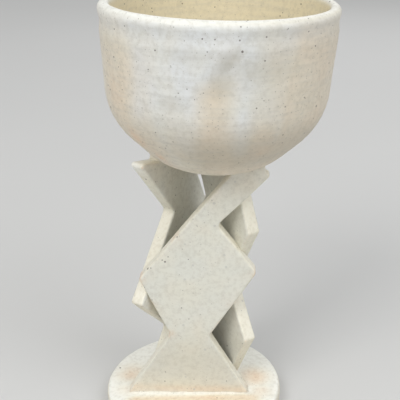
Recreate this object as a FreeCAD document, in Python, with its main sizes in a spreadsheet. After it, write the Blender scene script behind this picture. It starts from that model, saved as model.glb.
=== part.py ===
import FreeCAD, Part
import os
import Sketcher

# A handmade stoneware chalice: a round foot slab, three zigzag slabs that stand on it as the
# three sides of a prism, and a thrown bowl that rests on their tops. A coil of clay is pressed
# round each end of each leg, where it meets the foot and the bowl. Nothing moves. Millimetres,
# +Z up, origin at the centre of the underside of the foot, the front leg towards -Y.

V = FreeCAD.Vector
doc = FreeCAD.newDocument("communion_chalice")

# ---------------------------------------------------------------- driving dimensions

SIZES = {
    "foot_base_radius": 41.2,
    "foot_widest_radius": 42.9,
    "foot_widest_height": 5.0,
    "foot_top_radius": 42.0,
    "foot_blank_height": 13.0,
    "foot_height": 9.0,
    "foot_top_slope": 1.46,
    "foot_top_arris": 1.8,
    "foot_side_round": 6.0,
    "foot_base_arris": 1.0,
    # the bowl; heights are above its own underside
    "bowl_x": 9.66,
    "bowl_seat_height": 122.3,
    "bowl_lean": 1.0,
    "bowl_base_radius": 22.9,
    "bowl_base_rise": 1.8,
    "bowl_base_round": 32.0,
    "bowl_shoulder_radius": 46.6,
    "bowl_shoulder_height": 24.4,
    "bowl_shoulder_round": 31.0,
    "bowl_lip_radius": 50.0,
    "bowl_height": 71.7,
    "hollow_lip_radius": 44.5,
    "bowl_lip_outer_round": 3.2,
    "bowl_lip_inner_round": 2.2,
    "hollow_shoulder_radius": 41.3,
    "hollow_shoulder_height": 27.0,
    "hollow_shoulder_round": 26.0,
    "hollow_floor_radius": 21.2,
    "hollow_floor_rise": 7.8,
    "hollow_floor_round": 22.0,
    "bowl_floor_thick": 6.5,
    # the leg slabs; each stands upright, turned about +Z at its own place on the foot
    "leg_thick": 6.6,
    "leg_arris": 0.7,
    "leg_tip_round": 0.9,
    "leg_worn_round": 2.6,
    "leg_notch_round": 2.4,
    "front_leg_turn": -2.5,
    "front_leg_x": 0.1,
    "front_leg_y": -9.9,
    "back_right_leg_turn": 125.0,
    "back_right_leg_x": 28.3,
    "back_right_leg_y": -5.8,
    "back_left_leg_turn": -125.0,
    "back_left_leg_x": -25.0,
    "back_left_leg_y": -2.0,
    # the coils at the joints: how far each spreads from the leg, and along it
    "coil_spread": 1.5,
    "foot_coil_height": 1.6,
    "bowl_coil_drop": 1.6,
}

# Corners of each leg's outline, anticlockwise as seen from outside: name, distance along the
# slab, height, and kind. A tip points out, a worn corner is a rounder tip, a notch points in,
# and a buried corner is inside the foot or the bowl, where the slab is cut to fit.
LEG_OUTLINES = {
    "front_leg": [
        ("foot_left", -34.1, 4.0, "buried"),
        ("foot_right", 29.3, 4.0, "buried"),
        ("waist_right", 7.2, 40.8, "notch"),
        ("corner_right", 28.6, 74.7, "worn"),
        ("neck_right", 10.6, 97.9, "notch"),
        ("ear_tip", 33.8, 122.0, "tip"),
        ("ear_root", 31.1, 122.5, "buried"),
        ("head_right", 30.6, 131.0, "buried"),
        ("head_left", 23.5, 131.0, "buried"),
        ("corner_left", -24.9, 70.3, "tip"),
        ("waist_left", -10.8, 41.0, "notch"),
    ],
    "back_right_leg": [
        ("foot_left", 15.5, 4.0, "buried"),
        ("foot_right", 46.0, 4.0, "buried"),
        ("low_notch_right", 31.0, 41.0, "notch"),
        ("corner_right", 45.5, 70.0, "tip"),
        ("high_notch_right", 30.4, 102.0, "notch"),
        ("head_right", 43.0, 131.0, "buried"),
        ("head_left", 12.4, 131.0, "buried"),
        ("high_corner_left", -2.4, 94.0, "tip"),
        ("notch_left", 12.4, 64.1, "notch"),
        ("low_corner_left", -2.2, 38.6, "tip"),
    ],
    "back_left_leg": [
        ("foot_left", -31.5, 4.0, "buried"),
        ("foot_right", 3.3, 4.0, "buried"),
        ("waist_right", -17.6, 33.4, "notch"),
        ("corner_right", 7.0, 57.8, "tip"),
        ("neck_right", -19.0, 96.0, "notch"),
        ("ear_tip", 3.6, 124.2, "tip"),
        ("ear_top", 2.6, 125.6, "tip"),
        ("ear_root", -9.4, 123.3, "buried"),
        ("head_right", -11.0, 131.0, "buried"),
        ("head_left", -27.9, 131.0, "buried"),
        ("high_corner_left", -45.6, 92.0, "tip"),
        ("notch_left", -31.5, 66.0, "notch"),
        ("low_corner_left", -45.0, 40.0, "tip"),
    ],
}


def make_sheet():
    """Writes every driving dimension to a cell with an alias."""
    sizes = dict(SIZES)
    for leg, corners in LEG_OUTLINES.items():
        for name, across, height, _ in corners:
            sizes[f"{leg}_{name}_across"] = across
            sizes[f"{leg}_{name}_up"] = height
    made = doc.addObject("Spreadsheet::Sheet", "Sizes")
    for row, (alias, value) in enumerate(sizes.items(), start=1):
        made.set(f"A{row}", alias.replace("_", " "))
        made.set(f"B{row}", str(value))
        made.setAlias(f"B{row}", alias)
    doc.recompute()
    return made


sheet = make_sheet()


def size(alias):
    return float(getattr(sheet, alias))


def bind(obj, **properties):
    """Binds properties to expressions over the sheet's aliases; __ stands for a dot."""
    for name, expression in properties.items():
        obj.setExpression(name.replace("__", "."), expression)


# ---------------------------------------------------------------- shared building steps

TINY = 1e-4


def origin_plane(body, role):
    return next(f for f in body.Origin.OriginFeatures if f.Role == role)


def upright_outline(body, name, corners):
    """A closed outline in the body's XZ plane. Each corner is (alias across, alias up); None
    means that the corner lies on the axis."""
    sketch = body.newObject("Sketcher::SketchObject", name)
    sketch.AttachmentSupport = [(origin_plane(body, "XZ_Plane"), "")]
    sketch.MapMode = "FlatFace"
    places = [
        V(size(across) if across else 0.0, size(up) if up else 0.0, 0.0) for across, up in corners
    ]
    count = len(places)
    for i in range(count):
        sketch.addGeometry(Part.LineSegment(places[i], places[(i + 1) % count]), False)
    for i in range(count):
        sketch.addConstraint(Sketcher.Constraint("Coincident", i, 2, (i + 1) % count, 1))
    for i, (across, up) in enumerate(corners):
        for kind, alias, axis, value in (
            ("DistanceX", across, -2, places[i].x),
            ("DistanceY", up, -1, places[i].y),
        ):
            if alias is None:
                sketch.addConstraint(Sketcher.Constraint("PointOnObject", i, 1, axis))
                continue
            number = sketch.addConstraint(Sketcher.Constraint(kind, -1, 1, i, 1, value))
            label = f"{alias}_{i}"
            sketch.renameConstraint(number, label)
            sketch.setExpression(f"Constraints.{label}", f"Sizes.{alias}")
    doc.recompute()
    return sketch


def turned(body, sketch, name):
    """Revolves an outline about the body's upright axis."""
    feature = body.newObject("PartDesign::Revolution", name)
    feature.Profile = sketch
    feature.ReferenceAxis = (sketch, ["V_Axis"])
    feature.Angle = 360
    doc.recompute()
    return feature


def edges_where(shape, wanted):
    """Names of the edges of a shape for which wanted(edge) is true."""
    return [f"Edge{i}" for i, edge in enumerate(shape.Edges, start=1) if wanted(edge)]


def rounded(body, base, name, alias, wanted):
    """A fillet, with its radius in the sheet, on the edges of base that are wanted."""
    feature = body.newObject("PartDesign::Fillet", name)
    feature.Base = (base, edges_where(base.Shape, wanted))
    bind(feature, Radius=f"Sizes.{alias}")
    doc.recompute()
    return feature


def circle_at(radius, height):
    """Tells whether an edge is the full circle of this radius at this height."""

    def wanted(edge):
        box = edge.BoundBox
        flat = box.ZLength < TINY
        return flat and abs(box.XMax - radius) < 0.01 and abs(box.ZMin - height) < 0.01

    return wanted


def middle(edge):
    return edge.valueAt((edge.FirstParameter + edge.LastParameter) / 2)


# ---------------------------------------------------------------- foot


def make_foot():
    """A round slab with a bulged side. Its top is cut at a slight slope."""
    body = doc.addObject("PartDesign::Body", "FootBlank")
    outline = upright_outline(
        body,
        "FootOutline",
        [
            (None, None),
            ("foot_base_radius", None),
            ("foot_widest_radius", "foot_widest_height"),
            ("foot_top_radius", "foot_blank_height"),
            (None, "foot_blank_height"),
        ],
    )
    blank = turned(body, outline, "FootTurned")
    widest = circle_at(size("foot_widest_radius"), size("foot_widest_height"))
    side = rounded(body, blank, "FootSide", "foot_side_round", widest)
    lowest = circle_at(size("foot_base_radius"), 0)
    rounded(body, side, "FootBaseArris", "foot_base_arris", lowest)

    waste = doc.addObject("Part::Box", "FootTopWaste")
    bind(waste, Length="4 * Sizes.foot_widest_radius", Width="4 * Sizes.foot_widest_radius")
    bind(waste, Height="Sizes.foot_blank_height")
    reach = 2 * size("foot_widest_radius")
    slope = FreeCAD.Rotation(V(0, 1, 0), -size("foot_top_slope"))
    corner = slope.multVec(V(-reach, -reach, 0)) + V(0, 0, size("foot_height"))
    waste.Placement = FreeCAD.Placement(corner, slope)
    levelled = doc.addObject("Part::Cut", "FootLevelled")
    levelled.Base = body
    levelled.Tool = waste
    doc.recompute()

    top_face = max(levelled.Shape.Faces, key=lambda face: face.CenterOfMass.z)
    rim = top_face.OuterWire.Edges
    numbers = [
        i for i, e in enumerate(levelled.Shape.Edges, start=1) if any(e.isSame(r) for r in rim)
    ]
    foot = doc.addObject("Part::Fillet", "Foot")
    foot.Base = levelled
    arris = size("foot_top_arris")
    foot.Edges = [(number, arris, arris) for number in numbers]
    foot.Label = "foot_disc"
    doc.recompute()
    return foot


# ---------------------------------------------------------------- bowl


def make_bowl():
    """The thrown bowl: one wall outline turned about the axis, its corners rounded."""
    body = doc.addObject("PartDesign::Body", "Bowl")
    bind(body, Placement__Base__x="Sizes.bowl_x", Placement__Base__z="Sizes.bowl_seat_height")
    # the seam of the turned faces is put at the front, clear of every leg
    seam_to_front = FreeCAD.Rotation(V(0, 0, 1), -90)
    body.Placement.Rotation = FreeCAD.Rotation(V(0, 1, 0), size("bowl_lean")) * seam_to_front
    outline = upright_outline(
        body,
        "BowlWall",
        [
            (None, None),
            ("bowl_base_radius", "bowl_base_rise"),
            ("bowl_shoulder_radius", "bowl_shoulder_height"),
            ("bowl_lip_radius", "bowl_height"),
            ("hollow_lip_radius", "bowl_height"),
            ("hollow_shoulder_radius", "hollow_shoulder_height"),
            ("hollow_floor_radius", "hollow_floor_rise"),
            (None, "bowl_floor_thick"),
        ],
    )
    feature = turned(body, outline, "BowlTurned")
    rounds = [
        ("BowlBase", "bowl_base_round", "bowl_base_radius", "bowl_base_rise"),
        ("BowlShoulder", "bowl_shoulder_round", "bowl_shoulder_radius", "bowl_shoulder_height"),
        ("HollowFloor", "hollow_floor_round", "hollow_floor_radius", "hollow_floor_rise"),
        (
            "HollowShoulder",
            "hollow_shoulder_round",
            "hollow_shoulder_radius",
            "hollow_shoulder_height",
        ),
        ("LipOuter", "bowl_lip_outer_round", "bowl_lip_radius", "bowl_height"),
        ("LipInner", "bowl_lip_inner_round", "hollow_lip_radius", "bowl_height"),
    ]
    for name, alias, radius, height in rounds:
        feature = rounded(body, feature, name, alias, circle_at(size(radius), size(height)))
    body.Label = "bowl"
    doc.recompute()
    return body


def make_bowl_form(bowl):
    """The bowl with the lower part of its hollow filled, to cut the legs' heads against."""
    mid_slope = (size("bowl_shoulder_height") - size("bowl_base_rise")) / (
        size("bowl_shoulder_radius") - size("bowl_base_radius")
    )
    low = size("bowl_floor_thick") / 2
    high = size("bowl_shoulder_height")
    narrow = size("hollow_floor_radius")
    filling = doc.addObject("Part::Cone", "BowlFilling")
    filling.Radius1 = narrow
    filling.Radius2 = narrow + (high - low) / mid_slope
    filling.Height = high - low
    filling.Placement = bowl.Placement * FreeCAD.Placement(V(0, 0, low), FreeCAD.Rotation())
    form = doc.addObject("Part::Fuse", "BowlForm")
    form.Base = bowl
    form.Tool = filling
    doc.recompute()
    return form


# ---------------------------------------------------------------- legs


def make_slab(leg):
    """One zigzag slab with soft arrises, before it is cut to fit. The outer face is the body's
    XZ plane and the thickness goes inwards."""
    corners = LEG_OUTLINES[leg]
    body = doc.addObject("PartDesign::Body", f"{leg}_slab")
    bind(body, Placement__Base__x=f"Sizes.{leg}_x", Placement__Base__y=f"Sizes.{leg}_y")
    body.Placement.Rotation = FreeCAD.Rotation(V(0, 0, 1), size(f"{leg}_turn"))
    aliases = [(f"{leg}_{name}_across", f"{leg}_{name}_up") for name, *_ in corners]
    outline = upright_outline(body, f"{leg}_outline", aliases)
    pad = body.newObject("PartDesign::Pad", f"{leg}_pad")
    pad.Profile = outline
    pad.Reversed = True
    bind(pad, Length="Sizes.leg_thick")
    doc.recompute()

    feature = pad
    for kind in ("notch", "tip", "worn"):
        alias = f"leg_{kind}_round"
        places = [(across, up) for _, across, up, group in corners if group == kind]
        if not places:
            continue

        def at_corner(edge):
            point = middle(edge)
            through = edge.BoundBox.YLength > size("leg_thick") - TINY
            return through and any(
                abs(point.x - x) < 0.01 and abs(point.z - z) < 0.01 for x, z in places
            )

        feature = rounded(body, feature, f"{leg}_{kind}_rounds", alias, at_corner)

    def on_a_face(edge):
        box = edge.BoundBox
        return box.YLength < TINY

    rounded(body, feature, f"{leg}_arrises", "leg_arris", on_a_face)
    return body


def cut_to_fit(leg, slab, neighbours):
    """The finished leg: the slab less everything that it stands on, under or against."""
    tools = doc.addObject("Part::MultiFuse", f"{leg}_neighbours")
    tools.Shapes = neighbours
    fitted = doc.addObject("Part::Cut", f"{leg}_fitted")
    fitted.Base = slab
    fitted.Tool = tools
    fitted.Label = leg
    doc.recompute()
    return fitted


# ---------------------------------------------------------------- coils at the joints


def shifted_copy(form, name, rise):
    """A copy of a solid moved straight up or down by an expression."""
    copy = doc.addObject("Part::Compound", name)
    copy.Links = [form]
    bind(copy, Placement__Base__z=rise)
    doc.recompute()
    return copy


def make_halo(leg, slab):
    """The leg's slab grown on every side by the spread of a coil."""
    grown = doc.addObject("Part::Offset2D", f"{leg}_grown_outline")
    grown.Source = doc.getObject(f"{leg}_outline")
    bind(grown, Value="Sizes.coil_spread")
    grown.Mode = "Pipe"
    grown.Fill = False
    halo = doc.addObject("Part::Extrusion", f"{leg}_halo")
    halo.Base = grown
    halo.DirMode = "Custom"
    halo.Dir = V(0, 1, 0)
    halo.Solid = True
    bind(halo, LengthFwd="Sizes.leg_thick + Sizes.coil_spread", LengthRev="Sizes.coil_spread")
    halo.Placement = slab.Placement
    doc.recompute()
    return halo


def make_coil(label, halo, host, reach, others):
    """The clay round one end of a leg: the part of the halo that lies outside the host which the
    leg meets, within reach of it, less the other solids that the clay is pressed against."""
    outside = doc.addObject("Part::Cut", f"{label}_outside")
    outside.Base = halo
    outside.Tool = host
    near = doc.addObject("Part::MultiCommon", f"{label}_near")
    near.Shapes = [outside, reach]
    tools = doc.addObject("Part::MultiFuse", f"{label}_neighbours")
    tools.Shapes = others
    coil = doc.addObject("Part::Cut", f"{label}_coil")
    coil.Base = near
    coil.Tool = tools
    coil.Label = label
    doc.recompute()
    return coil


# ---------------------------------------------------------------- the chalice

foot = make_foot()
bowl = make_bowl()
form = make_bowl_form(bowl)
slabs = {}
for leg_name in LEG_OUTLINES:
    slabs[leg_name] = make_slab(leg_name)

front, back_right, back_left = slabs.values()
legs = [
    cut_to_fit("front_leg", front, [form, foot]),
    cut_to_fit("back_right_leg", back_right, [form, foot, front]),
    cut_to_fit("back_left_leg", back_left, [form, foot, front, back_right]),
]
foot_reach = shifted_copy(foot, "FootReach", "Sizes.foot_coil_height")
bowl_reach = shifted_copy(form, "BowlReach", "-Sizes.bowl_coil_drop")
foot_coils = []
bowl_coils = []
for leg_name, slab in slabs.items():
    halo = make_halo(leg_name, slab)
    end = leg_name.replace("_leg", "")
    for place, host, reach, coils in (
        ("foot", foot, foot_reach, foot_coils),
        ("bowl", form, bowl_reach, bowl_coils),
    ):
        coils.append(make_coil(f"{place}_coil_{end}", halo, host, reach, legs + coils))
pieces = [foot, bowl] + legs + foot_coils + bowl_coils

# ---------------------------------------------------------------- checks and files

doc.recompute()
for obj in doc.Objects:
    if {"Invalid", "Error"} & set(obj.State):
        raise RuntimeError(f"{obj.Name} failed: {obj.State}")
for piece in pieces:
    if piece.Shape.isNull() or not piece.Shape.isValid() or not piece.Shape.Solids:
        raise RuntimeError(f"{piece.Label} has no valid solid")

os.makedirs("parts", exist_ok=True)
for piece in pieces:
    piece.Shape.exportStep(f"parts/{piece.Label}.step")
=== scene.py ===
import math

import bmesh
import bpy
import numpy as np
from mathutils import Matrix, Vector, noise
from mathutils.bvhtree import BVHTree
from mathutils.kdtree import KDTree


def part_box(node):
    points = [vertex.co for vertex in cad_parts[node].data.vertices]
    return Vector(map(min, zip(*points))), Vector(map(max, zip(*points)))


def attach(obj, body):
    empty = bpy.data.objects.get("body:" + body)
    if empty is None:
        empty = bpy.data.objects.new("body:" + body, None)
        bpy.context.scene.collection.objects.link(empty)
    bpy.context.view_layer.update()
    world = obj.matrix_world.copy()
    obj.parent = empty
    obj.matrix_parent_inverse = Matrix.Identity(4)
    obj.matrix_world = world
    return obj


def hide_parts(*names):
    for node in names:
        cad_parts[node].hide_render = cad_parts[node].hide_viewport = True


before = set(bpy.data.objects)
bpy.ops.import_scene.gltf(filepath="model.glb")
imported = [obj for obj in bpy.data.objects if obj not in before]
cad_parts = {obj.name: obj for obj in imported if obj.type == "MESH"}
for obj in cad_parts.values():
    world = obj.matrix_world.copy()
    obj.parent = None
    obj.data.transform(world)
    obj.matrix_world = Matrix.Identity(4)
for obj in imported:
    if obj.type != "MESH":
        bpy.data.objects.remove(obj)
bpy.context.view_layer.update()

# The looks of a handmade stoneware chalice, with one piece in the place of every CAD node. The
# foot, bowl and legs are rebuilt from their solids as even, dense meshes, their arrises are
# wiped soft, and their faces get the waves, rings and dents of handwork. In the place of each
# coil is the clay wiped into the corner between a leg and what it meets. Metres, in the CAD
# frame.

MM = 0.001

LEGS = ["front_leg", "back_right_leg", "back_left_leg"]

# the cell size, in metres, of the even mesh that each piece is rebuilt as
BOWL_VOXEL = 0.8 * MM
LEG_VOXEL = 0.55 * MM
FOOT_VOXEL = 0.7 * MM
JOINT_VOXEL = 0.5 * MM

# how many times each piece's mesh is softened; a joint's count goes by what the leg meets
BOWL_STROKES = 3
LEG_STROKES = 3
FOOT_STROKES = 5
JOINT_STROKES = {"foot": 14, "bowl": 4}

# where each piece's noise starts; every leg has its own
BOWL_SEED = 1
LEG_SEEDS = {"front_leg": 11, "back_right_leg": 18, "back_left_leg": 25}
FOOT_SEED = 41


# ---------------------------------------------------------------- arrays and noise


def smoothstep(low, high, values):
    share = np.clip((values - low) / (high - low), 0.0, 1.0)
    return share * share * (3.0 - 2.0 * share)


def bump_at(distance, radius):
    """1 at no distance, falling smoothly to 0 at the radius."""
    return 1.0 - smoothstep(0.0, radius, distance)


def noise_field(points, scale, seed):
    """Smooth noise between about -1 and 1. scale is the size of its features, a number or one
    number per axis."""
    shift = np.array([seed * 17.3, seed * 5.1, seed * 9.7])
    places = points / np.asarray(scale, float) + shift
    return np.array([noise.noise(Vector(p)) for p in places])


def coordinates(mesh):
    flat = np.zeros(len(mesh.vertices) * 3)
    mesh.vertices.foreach_get("co", flat)
    return flat.reshape(-1, 3)


def normals(mesh):
    flat = np.zeros(len(mesh.vertices) * 3, np.float32)
    mesh.vertices.foreach_get("normal", flat)
    return flat.reshape(-1, 3).astype(float)


def move_to(mesh, points):
    mesh.vertices.foreach_set("co", points.astype(np.float32).ravel())
    mesh.update()


# ---------------------------------------------------------------- mesh building


def new_object(name, data):
    made = bpy.data.objects.new(name, data)
    bpy.context.scene.collection.objects.link(made)
    return made


def apply_modifiers(obj):
    bpy.context.view_layer.update()
    depsgraph = bpy.context.evaluated_depsgraph_get()
    mesh = bpy.data.meshes.new_from_object(obj.evaluated_get(depsgraph))
    obj.modifiers.clear()
    obj.data = mesh


def add_remesh(obj, voxel):
    remesh = obj.modifiers.new("even", "REMESH")
    remesh.mode = "VOXEL"
    remesh.voxel_size = voxel


def add_smooth(obj, strokes):
    smooth = obj.modifiers.new("wiped", "SMOOTH")
    smooth.factor = 0.5
    smooth.iterations = strokes


def rebuilt(node, name, voxel):
    """One closed, even mesh made from a CAD node."""
    same_place = 1e-6
    gathered = bmesh.new()
    gathered.from_mesh(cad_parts[node].data)
    bmesh.ops.remove_doubles(gathered, verts=gathered.verts, dist=same_place)
    mesh = bpy.data.meshes.new(name)
    gathered.to_mesh(mesh)
    gathered.free()
    obj = new_object(name, mesh)
    add_remesh(obj, voxel)
    apply_modifiers(obj)
    return obj


def wiped(obj, strokes):
    """Softens a mesh. Returns the points before and after."""
    before = coordinates(obj.data)
    add_smooth(obj, strokes)
    apply_modifiers(obj)
    return before, coordinates(obj.data)


def pushed(obj, depth):
    """Presses each point in along its normal by its depth, in metres."""
    mesh = obj.data
    move_to(mesh, coordinates(mesh) - normals(mesh) * depth[:, None])


def surface_tree(obj):
    """The surface of a mesh, ready for nearest-point questions."""
    faces = [tuple(face.vertices) for face in obj.data.polygons]
    return BVHTree.FromPolygons([v.co for v in obj.data.vertices], faces)


def set_attribute(mesh, name, values):
    attribute = mesh.attributes.get(name) or mesh.attributes.new(name, "FLOAT", "POINT")
    attribute.data.foreach_set("value", np.clip(values, 0.0, 1.0).astype(np.float32))


def get_attribute(mesh, name):
    values = np.zeros(len(mesh.vertices), np.float32)
    mesh.attributes[name].data.foreach_get("value", values)
    return values.astype(float)


def finish_piece(obj, material, node):
    """Glazes a piece and puts it in the place of its CAD node."""
    obj.data.materials.clear()
    obj.data.materials.append(material)
    obj.data.polygons.foreach_set("use_smooth", [True] * len(obj.data.polygons))
    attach(obj, "root")
    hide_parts(node)


# ---------------------------------------------------------------- glaze


def srgb(red, green, blue):
    """A colour as seen on a screen, 0 to 255, as the linear colour that a node wants."""

    def linear(value):
        share = value / 255.0
        return share / 12.92 if share <= 0.04045 else ((share + 0.055) / 1.055) ** 2.4

    return (linear(red), linear(green), linear(blue), 1.0)


BOWL_COOL = srgb(226, 228, 228)
LEG_COOL = srgb(222, 222, 213)
WARM_WHITE = srgb(228, 225, 210)
BUFF = srgb(230, 217, 197)
PEACH = srgb(232, 205, 176)
TAN = srgb(184, 146, 104)
# cream of pale arrises, also used as painted light on faces that face up
CREAM_AND_PAINTED_LIGHT = srgb(244, 236, 212)
# white of the lip, also used as painted light
WHITE_GLAZE_AND_PAINTED_LIGHT = srgb(246, 246, 239)
INSIDE_TAN = srgb(228, 218, 190)
# grey of painted shade, of grey marks and of the mottle
SHADE_AND_MOTTLE_GREY = srgb(168, 162, 146)
BRUSHED_GREY = srgb(180, 180, 176)
SPECK_DARK = srgb(74, 62, 54)
SPECK_GREY = srgb(136, 130, 120)


class Nodes:
    """Shorthand for building the node tree of a material or of the world."""

    def __init__(self, owner):
        owner.use_nodes = True
        self.tree = owner.node_tree
        self.tree.nodes.clear()

    def add(self, kind, **settings):
        node = self.tree.nodes.new(kind)
        for name, value in settings.items():
            setattr(node, name, value)
        return node

    def link(self, source, target):
        if isinstance(source, (int, float, tuple)):
            target.default_value = source
        else:
            self.tree.links.new(source, target)

    def attribute(self, name):
        return self.add("ShaderNodeAttribute", attribute_name=name).outputs["Fac"]

    def math(self, operation, first, second=0.0, clamp=False):
        node = self.add("ShaderNodeMath", operation=operation, use_clamp=clamp)
        self.link(first, node.inputs[0])
        self.link(second, node.inputs[1])
        return node.outputs[0]

    def ramp(self, value, low, high, first=0.0, last=1.0):
        """Maps low..high smoothly to first..last."""
        node = self.add("ShaderNodeMapRange", interpolation_type="SMOOTHSTEP")
        self.link(value, node.inputs["Value"])
        for name, number in (
            ("From Min", low),
            ("From Max", high),
            ("To Min", first),
            ("To Max", last),
        ):
            node.inputs[name].default_value = number
        return node.outputs["Result"]

    def mix(self, share, first, second):
        node = self.add("ShaderNodeMix", data_type="RGBA")
        self.link(share, node.inputs["Factor"])
        self.link(first, node.inputs["A"])
        self.link(second, node.inputs["B"])
        return node.outputs["Result"]

    def stretched(self, scale):
        """The place in the chalice's own frame, with each axis scaled."""
        place = self.add("ShaderNodeTexCoord").outputs["Object"]
        mapping = self.add("ShaderNodeMapping")
        self.link(place, mapping.inputs["Vector"])
        mapping.inputs["Scale"].default_value = scale
        return mapping.outputs["Vector"]

    def noise(self, per_metre, detail=2.0, stretch=(1.0, 1.0, 1.0), roughness=0.5):
        """Noise with this many features to the metre."""
        node = self.add("ShaderNodeTexNoise")
        self.link(self.stretched(stretch), node.inputs["Vector"])
        node.inputs["Scale"].default_value = per_metre
        node.inputs["Detail"].default_value = detail
        node.inputs["Roughness"].default_value = roughness
        return node.outputs["Fac"]

    def specks(self, cell, radius, share):
        """Roundish spots of mixed sizes: the cell each lies in and the largest radius, in
        metres, and the share of cells that hold a spot."""
        cells = self.add("ShaderNodeTexVoronoi", feature="F1")
        shaken = self.add("ShaderNodeVectorMath", operation="ADD")
        wobble = self.add("ShaderNodeTexNoise")
        place = self.stretched((1.0, 1.0, 1.0))
        self.link(place, wobble.inputs["Vector"])
        wobble.inputs["Scale"].default_value = 1.2 / cell
        small = self.add("ShaderNodeVectorMath", operation="SCALE")
        self.link(wobble.outputs["Color"], small.inputs[0])
        small.inputs["Scale"].default_value = 0.8 * radius
        self.link(place, shaken.inputs[0])
        self.link(small.outputs["Vector"], shaken.inputs[1])
        self.link(shaken.outputs["Vector"], cells.inputs["Vector"])
        cells.inputs["Scale"].default_value = 1.0 / cell
        split = self.add("ShaderNodeSeparateColor")
        self.link(cells.outputs["Color"], split.inputs["Color"])
        reach = radius / cell
        size = self.ramp(split.outputs["Green"], 0.0, 1.0, 0.45 * reach, reach)
        edge = self.math("SUBTRACT", size, cells.outputs["Distance"])
        spot = self.ramp(edge, -0.25 * reach, 0.25 * reach)
        chosen = self.math("LESS_THAN", split.outputs["Red"], share)
        return self.math("MULTIPLY", spot, chosen)


def make_glaze(name, cool_white, speck_amount, brushed_amount, blot_amount):
    """Satin, iron-speckled glaze. Point attributes say where it is cool, blushed, toasted,
    inside the bowl, cream on an arris and on faces that face up (partly painted light), white
    and lit by painted light, and darkened by painted shade and grey marks."""
    material = bpy.data.materials.new(name)
    n = Nodes(material)

    # clouds about 20 mm across, a 2 mm mottle, level brush marks and a fine grain
    cloud = n.noise(45.0, 3.0)
    mottle = n.noise(480.0, 3.0, roughness=0.65)
    brushed = n.noise(70.0, 2.0, stretch=(1.0, 1.0, 11.0))
    grain = n.noise(2600.0, 2.0)

    cool = n.math("ADD", n.attribute("cool"), n.ramp(cloud, 0.3, 0.7, -0.3, 0.3), clamp=True)
    base = n.mix(cool, WARM_WHITE, cool_white)
    blush = n.math("MULTIPLY", n.attribute("blush"), n.ramp(cloud, 0.25, 0.65, 0.6, 1.1))
    base = n.mix(blush, base, BUFF)
    base = n.mix(n.attribute("inside"), base, INSIDE_TAN)
    # painted shade, and grey marks, from their point attribute
    base = n.mix(n.attribute("smoke"), base, SHADE_AND_MOTTLE_GREY)
    # cream on the arrises, partly painted light where arrises, cut faces and the foot's top
    # face upwards
    edge = n.math("MULTIPLY", n.attribute("arris"), n.ramp(mottle, 0.3, 0.7, 0.5, 1.0))
    base = n.mix(edge, base, CREAM_AND_PAINTED_LIGHT)
    toast = n.math("MULTIPLY", n.attribute("toast"), n.ramp(mottle, 0.25, 0.75, 0.5, 1.15))
    base = n.mix(n.ramp(toast, 0.0, 0.6), base, PEACH)
    base = n.mix(n.ramp(toast, 0.5, 1.1, 0.0, 0.9), base, TAN)
    # the white of the lip, and painted light on faces that face up and on the ends of the legs'
    # tops
    base = n.mix(n.attribute("bright"), base, WHITE_GLAZE_AND_PAINTED_LIGHT)
    base = n.mix(n.ramp(mottle, 0.40, 0.72, 0.0, 0.24), base, SHADE_AND_MOTTLE_GREY)
    streaks = n.ramp(brushed, 0.42, 0.72, 0.0, 0.15 * brushed_amount)
    base = n.mix(streaks, base, BRUSHED_GREY)
    blots = n.specks(4.6 * MM, 0.62 * MM, 0.3)
    base = n.mix(n.math("MULTIPLY", blots, blot_amount), base, BRUSHED_GREY)

    freckles = n.specks(1.1 * MM, 0.17 * MM, 0.34 * speck_amount)
    fine = n.specks(1.6 * MM, 0.25 * MM, 0.42 * speck_amount)
    middling = n.specks(2.8 * MM, 0.34 * MM, 0.45 * speck_amount)
    large = n.specks(7.5 * MM, 0.55 * MM, 0.5 * speck_amount)
    freckled = n.ramp(n.attribute("blush"), 0.1, 0.9, 0.35, 0.9)
    base = n.mix(n.math("MULTIPLY", freckles, freckled), base, SPECK_GREY)
    base = n.mix(n.math("MULTIPLY", fine, 0.55), base, SPECK_GREY)
    base = n.mix(n.math("MULTIPLY", middling, 0.7), base, SPECK_DARK)
    base = n.mix(n.math("MULTIPLY", large, 0.8), base, SPECK_DARK)

    shader = n.add("ShaderNodeBsdfPrincipled")
    n.link(base, shader.inputs["Base Color"])
    rough = n.ramp(mottle, 0.2, 0.8, 0.42, 0.6)
    n.link(rough, shader.inputs["Roughness"])
    shader.inputs["Specular IOR Level"].default_value = 0.4
    shader.inputs["Coat Weight"].default_value = 0.1
    shader.inputs["Coat Roughness"].default_value = 0.35

    # the larger specks are pits; the mottle, grain and brush marks are a low relief
    pits = n.math("MULTIPLY", n.math("ADD", middling, large, clamp=True), -0.5)
    height = n.math("ADD", n.math("MULTIPLY", mottle, 0.35), pits)
    height = n.math("ADD", height, n.math("MULTIPLY", grain, 0.12))
    height = n.math("ADD", height, n.math("MULTIPLY", brushed, 0.22 * brushed_amount))
    relief = n.add("ShaderNodeBump")
    relief.inputs["Strength"].default_value = 0.5
    relief.inputs["Distance"].default_value = 0.25 * MM
    n.link(height, relief.inputs["Height"])
    n.link(relief.outputs["Normal"], shader.inputs["Normal"])
    output = n.add("ShaderNodeOutputMaterial")
    n.link(shader.outputs["BSDF"], output.inputs["Surface"])
    return material


GLAZE_NAMES = ["cool", "blush", "inside", "arris", "toast", "bright", "smoke"]


def paint(obj, **values):
    """Writes the glaze's point attributes; those not given are 0."""
    count = len(obj.data.vertices)
    for name in GLAZE_NAMES:
        set_attribute(obj.data, name, values.get(name, np.zeros(count)))


# ---------------------------------------------------------------- bowl


def ring_centre(points, low, high):
    """The middle of the points between two heights."""
    band = points[(points[:, 2] >= low) & (points[:, 2] <= high)]
    return (band.min(0) + band.max(0)) / 2


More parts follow.
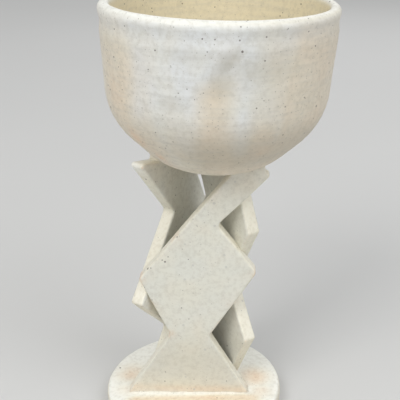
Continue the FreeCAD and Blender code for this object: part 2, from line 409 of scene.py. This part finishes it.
class BowlPlaces:
    """Places on the bowl, measured along its leaning axis: height above its underside, azimuth
    in degrees, 0 at the front and 90 at the right, and the direction out from the axis."""

    def __init__(self, points):
        low_corner, high_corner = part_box("bowl")
        cad = coordinates(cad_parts["bowl"].data)
        band = 5 * MM
        low = ring_centre(cad, low_corner.z, low_corner.z + band)
        high = ring_centre(cad, high_corner.z - band, high_corner.z)
        axis = high - low
        self.axis = axis / np.linalg.norm(axis)
        from_low = points - low
        along = from_low @ self.axis
        across = from_low - np.outer(along, self.axis)
        on_axis = 1e-6
        radius = np.maximum(np.linalg.norm(across, axis=1), on_axis)
        self.out = across / radius[:, None]
        self.height = along - along.min()
        self.top = self.height.max()
        self.azimuth = np.degrees(np.arctan2(self.out[:, 0], -self.out[:, 1]))

    def distance(self, azimuth, height, stretch=1.0, turn=0.0):
        """Distance over the wall from a spot, squeezed along a direction turned from level."""
        wall_radius = 48 * MM
        across = np.radians((self.azimuth - azimuth + 180.0) % 360.0 - 180.0) * wall_radius
        up = self.height - height
        angle = math.radians(turn)
        first = across * math.cos(angle) + up * math.sin(angle)
        second = -across * math.sin(angle) + up * math.cos(angle)
        return np.hypot(first / stretch, second)


# dents: azimuth in degrees, height, reach and depth in mm, stretch, turn in degrees
BOWL_DENTS = [
    (-2.0, 47.0, 8.0, 1.1, 2.8, 62.0),
    (-38.0, 22.0, 15.0, 0.7, 1.6, -35.0),
    (22.0, 56.0, 12.0, 0.5, 2.0, 8.0),
    (-24.0, 60.0, 10.0, 0.4, 2.4, -6.0),
    (44.0, 30.0, 16.0, 0.6, 1.5, 20.0),
    (100.0, 40.0, 18.0, 0.7, 1.4, -30.0),
    (160.0, 30.0, 15.0, 0.6, 1.8, 40.0),
    (-120.0, 45.0, 16.0, 0.7, 1.6, 15.0),
]

# grey marks: azimuth in degrees, height and reach in mm, amount, then stretch and turn as for
# the dents
BOWL_GREY_MARKS = [
    (3.0, 56.0, 6.0, 0.5, 2.0, 45.0),
    (1.0, 48.0, 9.0, 0.45, 1.6, 65.0),
    (20.0, 53.0, 12.0, 0.4, 2.6, 2.0),
    (-14.0, 58.0, 6.0, 0.2, 3.0, -3.0),
    (-22.0, 40.0, 5.0, 0.25, 2.2, 4.0),
    (50.0, 24.0, 9.0, 0.2, 2.0, 25.0),
    (180.0, 45.0, 12.0, 0.3, 2.5, 20.0),
    (110.0, 50.0, 9.0, 0.25, 3.0, -15.0),
]

# upright buff streaks: azimuth in degrees, lower and upper end in mm, reach in degrees, amount
BOWL_STREAKS = [
    (-2.5, 10.0, 42.0, 14.0, 0.75),
    (22.0, 8.0, 24.0, 9.0, 0.8),
    (36.0, 20.0, 48.0, 8.0, 0.5),
    (-58.0, 14.0, 56.0, 18.0, 0.35),
]

# toasted patches: azimuth in degrees, height and reach in mm, amount
BOWL_TOAST = [
    (-52.0, 20.0, 9.0, 0.5),
    (-44.0, 12.0, 7.0, 0.4),
    (-2.0, 30.0, 14.0, 0.2),
    (24.0, 19.0, 9.0, 0.25),
    (-60.0, 40.0, 14.0, 0.3),
    (3.0, 8.0, 14.0, 0.2),
    (60.0, 33.0, 14.0, 0.15),
    (130.0, 25.0, 18.0, 0.4),
    (-150.0, 28.0, 18.0, 0.4),
]


def bowl_relief(points, at, outward, outside):
    """How deep each point is pressed in: a slow wobble, throwing rings that wander a little
    and a fine tooth, and on the outside a groove under the rolled lip and dents."""
    below_lip = at.top - at.height
    wobble = 0.5 + 0.5 * noise_field(points, 26 * MM, BOWL_SEED)
    depth = 0.45 * MM * wobble

    wander = 1.2 * MM * noise_field(points, 30 * MM, BOWL_SEED + 1)
    pitch = 3.4 * MM
    rings = 0.5 + 0.5 * np.sin(2 * math.pi * (at.height + wander) / pitch)
    ring_share = 0.4 + 0.6 * smoothstep(-0.5, 0.5, noise_field(points, 22 * MM, BOWL_SEED + 2))
    depth += 0.085 * MM * rings * ring_share * smoothstep(5 * MM, 12 * MM, below_lip)

    groove_below_lip = 7.5 * MM
    groove = bump_at(np.abs(below_lip - groove_below_lip), 4.5 * MM)
    depth += 0.55 * MM * groove * outside * smoothstep(-0.2, 0.6, outward)

    for azimuth, height, reach, dent, stretch, turn in BOWL_DENTS:
        spot = at.distance(azimuth, height * MM, stretch, turn)
        depth += dent * MM * bump_at(spot, reach * MM) * smoothstep(0.0, 0.5, outward)

    tooth = 0.5 + 0.5 * noise_field(points, 2.2 * MM, BOWL_SEED + 3)
    depth += 0.07 * MM * tooth
    return depth


def paint_bowl(bowl, points, at, inside):
    """Cool white in the middle of the front, buff at the sides, buff low down with painted
    shade there, weaker on the left and added on the right side; grey marks; a white lip, partly
    painted light from above."""
    below_lip = at.top - at.height
    streak = noise_field(points, (7 * MM, 7 * MM, 30 * MM), BOWL_SEED + 4)
    patch = noise_field(points, (15 * MM, 15 * MM, 13 * MM), BOWL_SEED + 5)
    sides = smoothstep(22.0, 52.0, np.abs(at.azimuth + 4.0))
    low = smoothstep(34 * MM, 12 * MM, at.height)
    right = smoothstep(3.0, 22.0, at.azimuth) * smoothstep(120.0, 60.0, at.azimuth)

    blush = 0.05 + 0.6 * sides + 0.6 * low + 0.3 * right + 0.3 * streak + 0.22 * patch
    streaked = np.zeros(len(points))
    streak_fade = 12 * MM
    for azimuth, low_end, high_end, reach, amount in BOWL_STREAKS:
        across = np.abs(at.azimuth - azimuth)
        beyond = np.maximum(low_end * MM - at.height, at.height - high_end * MM)
        along = bump_at(np.maximum(beyond, 0.0), streak_fade)
        streaked = np.maximum(streaked, amount * bump_at(across, reach) * along)
    blush += streaked
    blush = np.clip(blush, 0.0, 1.0)
    blush *= 0.5 + 0.5 * smoothstep(68 * MM, 56 * MM, at.height)
    cool = np.clip(1.0 - 0.9 * blush + 0.3 * patch, 0.0, 1.0) * (1.0 - 0.7 * low)
    # a white lip, partly painted light from above; less of it inside
    bright = bump_at(below_lip, 5.0 * MM) * 0.95 * (1.0 - 0.75 * inside)

    # painted shade low on the bowl, weaker on the lower left where the light falls, and painted
    # shade on the right side
    lowest = smoothstep(38 * MM, 20 * MM, at.height)
    smoke = 0.5 * lowest * smoothstep(3 * MM, 15 * MM, at.height)
    smoke *= 0.35 + 0.65 * smoothstep(-35.0, -5.0, at.azimuth)
    smoke = np.maximum(smoke, 0.16 * right)
    # grey marks on the wall and grey along the buff streaks, none inside
    for azimuth, height, reach, amount, stretch, turn in BOWL_GREY_MARKS:
        spot = at.distance(azimuth, height * MM, stretch, turn)
        smoke = np.maximum(smoke, amount * bump_at(spot, reach * MM))
    smoke = np.maximum(smoke, 0.28 * streaked) * (1.0 - inside)

    toast = np.zeros(len(points))
    for azimuth, height, reach, amount in BOWL_TOAST:
        spot = at.distance(azimuth, height * MM)
        toast = np.maximum(toast, amount * bump_at(spot, reach * MM))
    toast *= (1.0 - inside) * (0.85 + 0.5 * streak)

    tones = {"cool": cool, "blush": blush * (1.0 - inside), "inside": inside}
    paint(bowl, bright=bright, toast=toast, smoke=smoke, **tones)


def make_bowl():
    bowl = rebuilt("bowl", "thrown_bowl", BOWL_VOXEL)
    _, points = wiped(bowl, BOWL_STROKES)
    facing = normals(bowl.data)
    at = BowlPlaces(points)
    outward = (facing * at.out).sum(1)
    upward = facing @ at.axis
    below_lip = at.top - at.height
    in_hollow = np.maximum(smoothstep(0.1, -0.5, outward), smoothstep(0.3, 0.8, upward))
    inside = in_hollow * smoothstep(0.2 * MM, 3.5 * MM, below_lip)
    outside = 1.0 - smoothstep(-0.2, 0.3, upward) * inside
    pushed(bowl, bowl_relief(points, at, outward, outside))
    paint_bowl(bowl, points, at, inside)
    return bowl


# ---------------------------------------------------------------- legs


def outward_of(node):
    """The level direction through a leg's slab, outwards, from the areas of its faces."""
    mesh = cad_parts[node].data
    level = 0.2
    double_sin = 0.0
    double_cos = 0.0
    for face in mesh.polygons:
        if abs(face.normal.z) < level:
            angle = 2.0 * math.atan2(face.normal.y, face.normal.x)
            double_sin += face.area * math.sin(angle)
            double_cos += face.area * math.cos(angle)
    angle = math.atan2(double_sin, double_cos) / 2.0
    through = np.array([math.cos(angle), math.sin(angle), 0.0])
    middle = coordinates(mesh).mean(0)
    return through if middle @ through > 0.0 else -through


def seated(leg, host):
    """Sinks the end of a leg that rests on a host a little way into it, so no gap is left."""
    touching = 1.2 * MM
    face_to_face = -0.5
    tree = surface_tree(host)
    points = coordinates(leg.data)
    facing = normals(leg.data)
    for index, point in enumerate(points):
        hit, normal, _, _ = tree.find_nearest(Vector(point), touching)
        if hit is not None and Vector(facing[index]).dot(normal) < face_to_face:
            points[index] -= np.array(normal) * 1.1 * MM
    move_to(leg.data, points)


# painted light on the ends of the legs' tops, which the bowl shades: x, y, height and reach in
# mm, amount
PAINTED_LIGHT_ON_EARS = [
    (31.0, -10.0, 121.0, 8.0, 0.5),
    (-27.5, -5.0, 125.0, 12.0, 1.0),
    (-19.5, 2.5, 125.5, 5.0, 0.9),
]

# marks on the front leg: x and height in mm, reach in mm, amount of toast
FRONT_LEG_TOAST = [
    (-24.6, 69.5, 5.5, 1.0),
    (-19.0, 57.0, 5.0, 0.55),
    (28.0, 73.5, 4.0, 0.8),
    (-10.5, 42.0, 5.0, 0.8),
    (18.0, 58.0, 6.0, 0.5),
    (9.5, 43.0, 4.0, 0.5),
    (-8.0, 91.0, 6.0, 0.5),
]


def paint_leg(leg, node, points, facing, arris, seed):
    """Cool grey-white faces, warm at both ends, with a band of painted shade low on the faces;
    pale cut edges, with painted light where cut faces and arrises face up, white just above the
    foot, and painted light on the ends of the tops; toast on the arrises, at the foot and at
    the front leg's marked corners."""
    cut_face = 1.0 - smoothstep(0.35, 0.8, np.abs(facing @ outward_of(node)))
    upward = smoothstep(0.0, 0.6, facing[:, 2])
    low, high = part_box(node)
    height = points[:, 2]
    cloud = noise_field(points, 13 * MM, seed + 2)
    warm = noise_field(points, 7 * MM, seed + 3)
    base_band = bump_at(np.abs(height - low.z), 11 * MM)
    head_band = smoothstep(high.z - 26 * MM, high.z - 4 * MM, height)
    seam = bump_at(np.abs(height - low.z - 2 * MM), 6 * MM)

    cool = np.clip(0.7 + 0.4 * cloud - 0.5 * base_band - 0.2 * head_band, 0.0, 1.0)
    cool *= 1.0 - 0.8 * cut_face
    blush = np.clip(0.02 + 0.22 * warm + 0.45 * base_band + 0.25 * head_band, 0.0, 1.0)
    blush = np.maximum(blush, 0.85 * seam)
    # cream on the arrises and cut faces, stronger where they face up: partly painted light
    edges = 0.8 * arris * (0.3 + 0.7 * upward) + cut_face * (0.4 + 0.5 * upward)
    # painted shade: a grey band across the faces about 28 mm up, not on the cut faces
    painted_shade_height = 28 * MM
    smoke = 0.22 * bump_at(np.abs(height - painted_shade_height), 22 * MM) * (1.0 - cut_face)

    toast = 0.85 * arris * (1.0 - upward) * smoothstep(-0.3, 0.5, warm)
    toast += 0.3 * seam * (0.7 + 0.5 * warm)
    if node == "front_leg":
        for x, z, reach, amount in FRONT_LEG_TOAST:
            spot = np.hypot(points[:, 0] - x * MM, height - z * MM)
            near_edge = 0.3 + 0.7 * np.maximum(arris, cut_face)
            toast = np.maximum(toast, amount * near_edge * bump_at(spot, reach * MM))

    # painted light where cut faces and arrises face up, white just above the foot, and painted
    # light on the ends of the tops
    bright = 0.35 * cut_face * upward + 0.3 * arris * upward
    bright = np.maximum(bright, 0.3 * bump_at(np.abs(height - low.z), 4 * MM))
    for x, y, z, reach, amount in PAINTED_LIGHT_ON_EARS:
        spot = np.linalg.norm(points - np.array([x, y, z]) * MM, axis=1)
        ear = amount * bump_at(spot, reach * MM) * np.maximum(0.4, cut_face)
        bright = np.maximum(bright, ear)
    paint(leg, cool=cool, blush=blush, arris=edges, toast=toast, bright=bright, smoke=smoke)


def make_leg(node):
    seed = LEG_SEEDS[node]
    leg = rebuilt(node, f"slab_{node}", LEG_VOXEL)
    before, points = wiped(leg, LEG_STROKES)
    facing = normals(leg.data)
    # softening moves a point the most on a sharp arris
    moved = ((before - points) * facing).sum(1)
    arris = smoothstep(0.06, 0.6, moved / (0.22 * MM))

    depth = 0.22 * MM * noise_field(points, 16 * MM, seed) - 0.1 * MM
    depth += 0.06 * MM * noise_field(points, 3.0 * MM, seed + 1)
    pushed(leg, depth)
    for host in ("foot_disc", "bowl"):
        seated(leg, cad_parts[host])
    paint_leg(leg, node, points, facing, arris, seed)
    return leg


# ---------------------------------------------------------------- foot

# toasted patches: x and y in mm, reach in mm, amount
FOOT_TOAST = [
    (-31.0, 7.0, 14.0, 0.75),
    (-33.0, -6.0, 9.0, 0.5),
    (29.0, 2.0, 15.0, 0.8),
    (32.0, -10.0, 10.0, 0.6),
    (-12.0, -20.0, 9.0, 0.35),
    (10.0, 30.0, 14.0, 0.4),
]


def paint_foot(foot, points, facing, cloud):
    """Cream-white on top, lit there by painted light, buff round the side and before the front
    leg, with peach patches beside the legs."""
    top = smoothstep(0.3, 0.9, facing[:, 2])
    before_leg = smoothstep(-10 * MM, -14 * MM, points[:, 1]) * top
    before_leg *= smoothstep(35 * MM, 28 * MM, np.abs(points[:, 0]))
    cool = np.clip(0.15 + 0.25 * cloud, 0.0, 1.0)
    patches = 0.3 * noise_field(points, 9 * MM, FOOT_SEED + 3)
    blush = np.clip(0.05 + patches + 0.3 * (1 - top) + 0.9 * before_leg, 0, 1)
    toast = 0.4 * before_leg * (0.6 + 0.4 * smoothstep(-0.5, 0.6, cloud))
    for x, y, reach, amount in FOOT_TOAST:
        spot = np.hypot(points[:, 0] - x * MM, points[:, 1] - y * MM)
        near = amount * bump_at(spot, reach * MM) * (0.8 + 0.4 * cloud)
        toast = np.maximum(toast, 0.8 * near)
        blush = np.maximum(blush, np.minimum(1.6 * near, 1.0))
    # painted light over the top face, but not before the front leg nor on the peach patches;
    # the arris attribute lays cream over the whole top
    bright = 0.9 * top * (1.0 - before_leg) * np.clip(1.0 - 1.6 * toast, 0.0, 1.0)
    paint(foot, cool=cool, blush=blush, toast=toast, arris=0.75 * top, bright=bright)


def make_foot():
    foot = rebuilt("foot_disc", "slab_foot", FOOT_VOXEL)
    _, points = wiped(foot, FOOT_STROKES)
    facing = normals(foot.data)
    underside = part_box("foot_disc")[0].z
    above = smoothstep(0.2 * MM, 2.0 * MM, points[:, 2] - underside)
    depth = 0.3 * MM * (0.5 + 0.5 * noise_field(points, 14 * MM, FOOT_SEED))
    depth += 0.09 * MM * (0.5 + 0.5 * noise_field(points, 3 * MM, FOOT_SEED + 1))
    pushed(foot, depth * above)
    paint_foot(foot, points, facing, noise_field(points, 12 * MM, FOOT_SEED + 2))
    return foot


# ---------------------------------------------------------------- wiped joints


def signed_distance(tree, place):
    hit, normal, _, gap = tree.find_nearest(place)
    return gap if (place - hit).dot(normal) >= 0.0 else -gap


def joined(name, leg, host, strokes):
    """A leg and what it meets as one even, softened mesh."""
    gathered = bmesh.new()
    for source in (leg, host):
        gathered.from_mesh(source.data)
    mesh = bpy.data.meshes.new(name)
    gathered.to_mesh(mesh)
    gathered.free()
    both = new_object(name, mesh)
    add_remesh(both, JOINT_VOXEL)
    add_smooth(both, strokes)
    apply_modifiers(both)
    return both


def keep_proud(surface, leg, host, coil):
    """Deletes all but the skin near the coil that stands proud of both the leg and the host."""
    proud = 0.05 * MM
    margin = 5 * MM
    trees = [surface_tree(leg), surface_tree(host)]
    coil_low, coil_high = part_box(coil)
    gone = []
    for vert in surface.verts:
        near = all(coil_low[i] - margin < vert.co[i] < coil_high[i] + margin for i in range(3))
        if not near or min(signed_distance(tree, vert.co) for tree in trees) < proud:
            gone.append(vert)
    bmesh.ops.delete(surface, geom=gone, context="VERTS")
    surface.normal_update()
    loose = [v for v in surface.verts if not v.link_faces]
    bmesh.ops.delete(surface, geom=loose, context="VERTS")


def close_underneath(surface):
    """Makes a skin solid: a copy sunk inside the pieces, walls between, and a tucked-in rim."""
    thickness_mm = 0.9
    tuck_mm = 0.12
    rim = {v for e in surface.edges if e.is_boundary for v in e.verts}
    skin = list(surface.faces)
    outward = {v: v.normal.copy() for v in surface.verts}
    bottom = bmesh.ops.duplicate(surface, geom=list(surface.verts) + list(surface.edges) + skin)
    pairs = bottom["vert_map"]
    for v, normal in outward.items():
        pairs[v].co = v.co - normal * thickness_mm * MM
    for face in [f for f in bottom["geom"] if isinstance(f, bmesh.types.BMFace)]:
        face.normal_flip()
    for edge in [e for e in surface.edges if e.is_boundary]:
        first, second = edge.verts
        if first in outward and second in outward:
            surface.faces.new((second, first, pairs[first], pairs[second]))
    for v in rim:
        v.co = v.co - outward[v] * tuck_mm * MM
    surface.normal_update()


def make_joint(name, leg, host, coil, strokes):
    """The clay wiped into the corner between a leg and what it meets."""
    joint = joined(name, leg, host, strokes)
    surface = bmesh.new()
    surface.from_mesh(joint.data)
    keep_proud(surface, leg, host, coil)
    close_underneath(surface)
    surface.to_mesh(joint.data)
    surface.free()
    return joint


def blended_paint(joint, *neighbours):
    """Takes the glaze's attributes from the nearest points of the pieces it joins."""
    nearest = 0.3 * MM
    points = coordinates(joint.data)
    total = {name: np.zeros(len(points)) for name in GLAZE_NAMES}
    weights = np.zeros(len(points))
    for piece in neighbours:
        mesh = piece.data
        tree = KDTree(len(mesh.vertices))
        for vert in mesh.vertices:
            tree.insert(vert.co, vert.index)
        tree.balance()
        values = {name: get_attribute(mesh, name) for name in GLAZE_NAMES}
        found = [tree.find(Vector(p)) for p in points]
        index = np.array([f[1] for f in found])
        weight = 1.0 / (np.array([f[2] for f in found]) + nearest)
        weights += weight
        for name in GLAZE_NAMES:
            total[name] += weight * values[name][index]
    paint(joint, **{name: total[name] / weights for name in GLAZE_NAMES})


# ---------------------------------------------------------------- the pieces

bowl_glaze = make_glaze(
    "speckled_bowl_glaze", BOWL_COOL, speck_amount=1.35, brushed_amount=1.0, blot_amount=0.15
)
leg_glaze = make_glaze(
    "speckled_leg_glaze", LEG_COOL, speck_amount=0.7, brushed_amount=0.0, blot_amount=0.4
)
foot_glaze = make_glaze(
    "speckled_foot_glaze", LEG_COOL, speck_amount=0.35, brushed_amount=0.0, blot_amount=0.1
)

bowl = make_bowl()
finish_piece(bowl, bowl_glaze, "bowl")

legs = {}
for node in LEGS:
    legs[node] = make_leg(node)
    finish_piece(legs[node], leg_glaze, node)

foot = make_foot()
finish_piece(foot, foot_glaze, "foot_disc")

for node in LEGS:
    end = node.replace("_leg", "")
    for place, host in (("foot", foot), ("bowl", bowl)):
        coil = f"{place}_coil_{end}"
        joint = make_joint(f"wiped_{coil}", legs[node], host, coil, JOINT_STROKES[place])
        blended_paint(joint, legs[node], host)
        finish_piece(joint, leg_glaze, coil)

# ---------------------------------------------------------------- floor, light and camera

FLOOR_RADIUS = 6.0
FLOOR_CORNERS = 64
FLOOR_DARKER = srgb(206, 206, 205)
FLOOR_LIGHTER = srgb(211, 211, 210)

# soft lamps: name, place, width in metres, watts, colour
LAMPS = [
    ("key", (-0.54, -0.76, 1.00), 0.6, 6.4, (1.0, 0.99, 0.965)),
    ("fill", (0.80, -0.60, 0.95), 0.8, 4.4, (0.98, 0.99, 1.0)),
    ("behind", (0.3, 0.9, 0.7), 0.8, 1.4, (0.98, 0.985, 1.0)),
]
LIT_MIDDLE = (0.0, 0.0, 0.11)

# a broad light from above and a little in front; its spread and tilt are in degrees
ABOVE_STRENGTH = 0.7
ABOVE_SPREAD = 70.0
ABOVE_TILT = 25.0

ROOM_LIGHT = srgb(238, 239, 239)
ROOM_STRENGTH = 0.5
BACKDROP = srgb(173, 173, 173)

# the camera, near and a little above the rim: its place in metres, how far it looks down in
# degrees, and its lens and sensor in mm
CAMERA_PLACE = (0.0031, -0.3263, 0.2430)
LOOK_DOWN = 22.8
LENS = 71.1
SENSOR = 36.0


def make_stage():
    """A wide, flat, pale floor."""
    circle = bmesh.new()
    bmesh.ops.create_circle(circle, cap_ends=True, segments=FLOOR_CORNERS, radius=FLOOR_RADIUS)
    mesh = bpy.data.meshes.new("floor")
    circle.to_mesh(mesh)
    circle.free()
    floor = new_object("floor", mesh)
    material = bpy.data.materials.new("pale_floor")
    n = Nodes(material)
    shader = n.add("ShaderNodeBsdfPrincipled")
    shade = n.mix(n.noise(3.0, 2.0), FLOOR_DARKER, FLOOR_LIGHTER)
    n.link(shade, shader.inputs["Base Color"])
    shader.inputs["Roughness"].default_value = 0.9
    output = n.add("ShaderNodeOutputMaterial")
    n.link(shader.outputs["BSDF"], output.inputs["Surface"])
    mesh.materials.append(material)


def make_lamps():
    for name, place, width, watts, colour in LAMPS:
        data = bpy.data.lights.new(name, "AREA")
        data.size = width
        data.energy = watts
        data.color = colour
        lamp = new_object(name, data)
        lamp.location = place
        towards = Vector(LIT_MIDDLE) - Vector(place)
        lamp.rotation_euler = towards.to_track_quat("-Z", "Y").to_euler()

    above = new_object("above", bpy.data.lights.new("above", "SUN"))
    above.data.energy = ABOVE_STRENGTH
    above.data.angle = math.radians(ABOVE_SPREAD)
    above.rotation_euler = (math.radians(ABOVE_TILT), 0.0, 0.0)


def make_room():
    """Soft light from all round; seen directly, the room has the tone of the far floor."""
    world = bpy.data.worlds.new("studio")
    bpy.context.scene.world = world
    n = Nodes(world)
    light = n.add("ShaderNodeBackground")
    light.inputs["Color"].default_value = ROOM_LIGHT
    light.inputs["Strength"].default_value = ROOM_STRENGTH
    backdrop = n.add("ShaderNodeBackground")
    backdrop.inputs["Color"].default_value = BACKDROP
    seen = n.add("ShaderNodeMixShader")
    n.link(n.add("ShaderNodeLightPath").outputs["Is Camera Ray"], seen.inputs[0])
    n.link(light.outputs["Background"], seen.inputs[1])
    n.link(backdrop.outputs["Background"], seen.inputs[2])
    output = n.add("ShaderNodeOutputWorld")
    n.link(seen.outputs["Shader"], output.inputs["Surface"])


def make_camera():
    data = bpy.data.cameras.new("camera")
    data.sensor_width = SENSOR
    data.lens = LENS
    data.clip_start = 0.01
    camera = new_object("camera", data)
    camera.location = CAMERA_PLACE
    camera.rotation_euler = (math.radians(90.0 - LOOK_DOWN), 0.0, 0.0)
    bpy.context.scene.camera = camera


make_stage()
make_lamps()
make_room()
make_camera()
bpy.context.scene.view_settings.view_transform = "Standard"
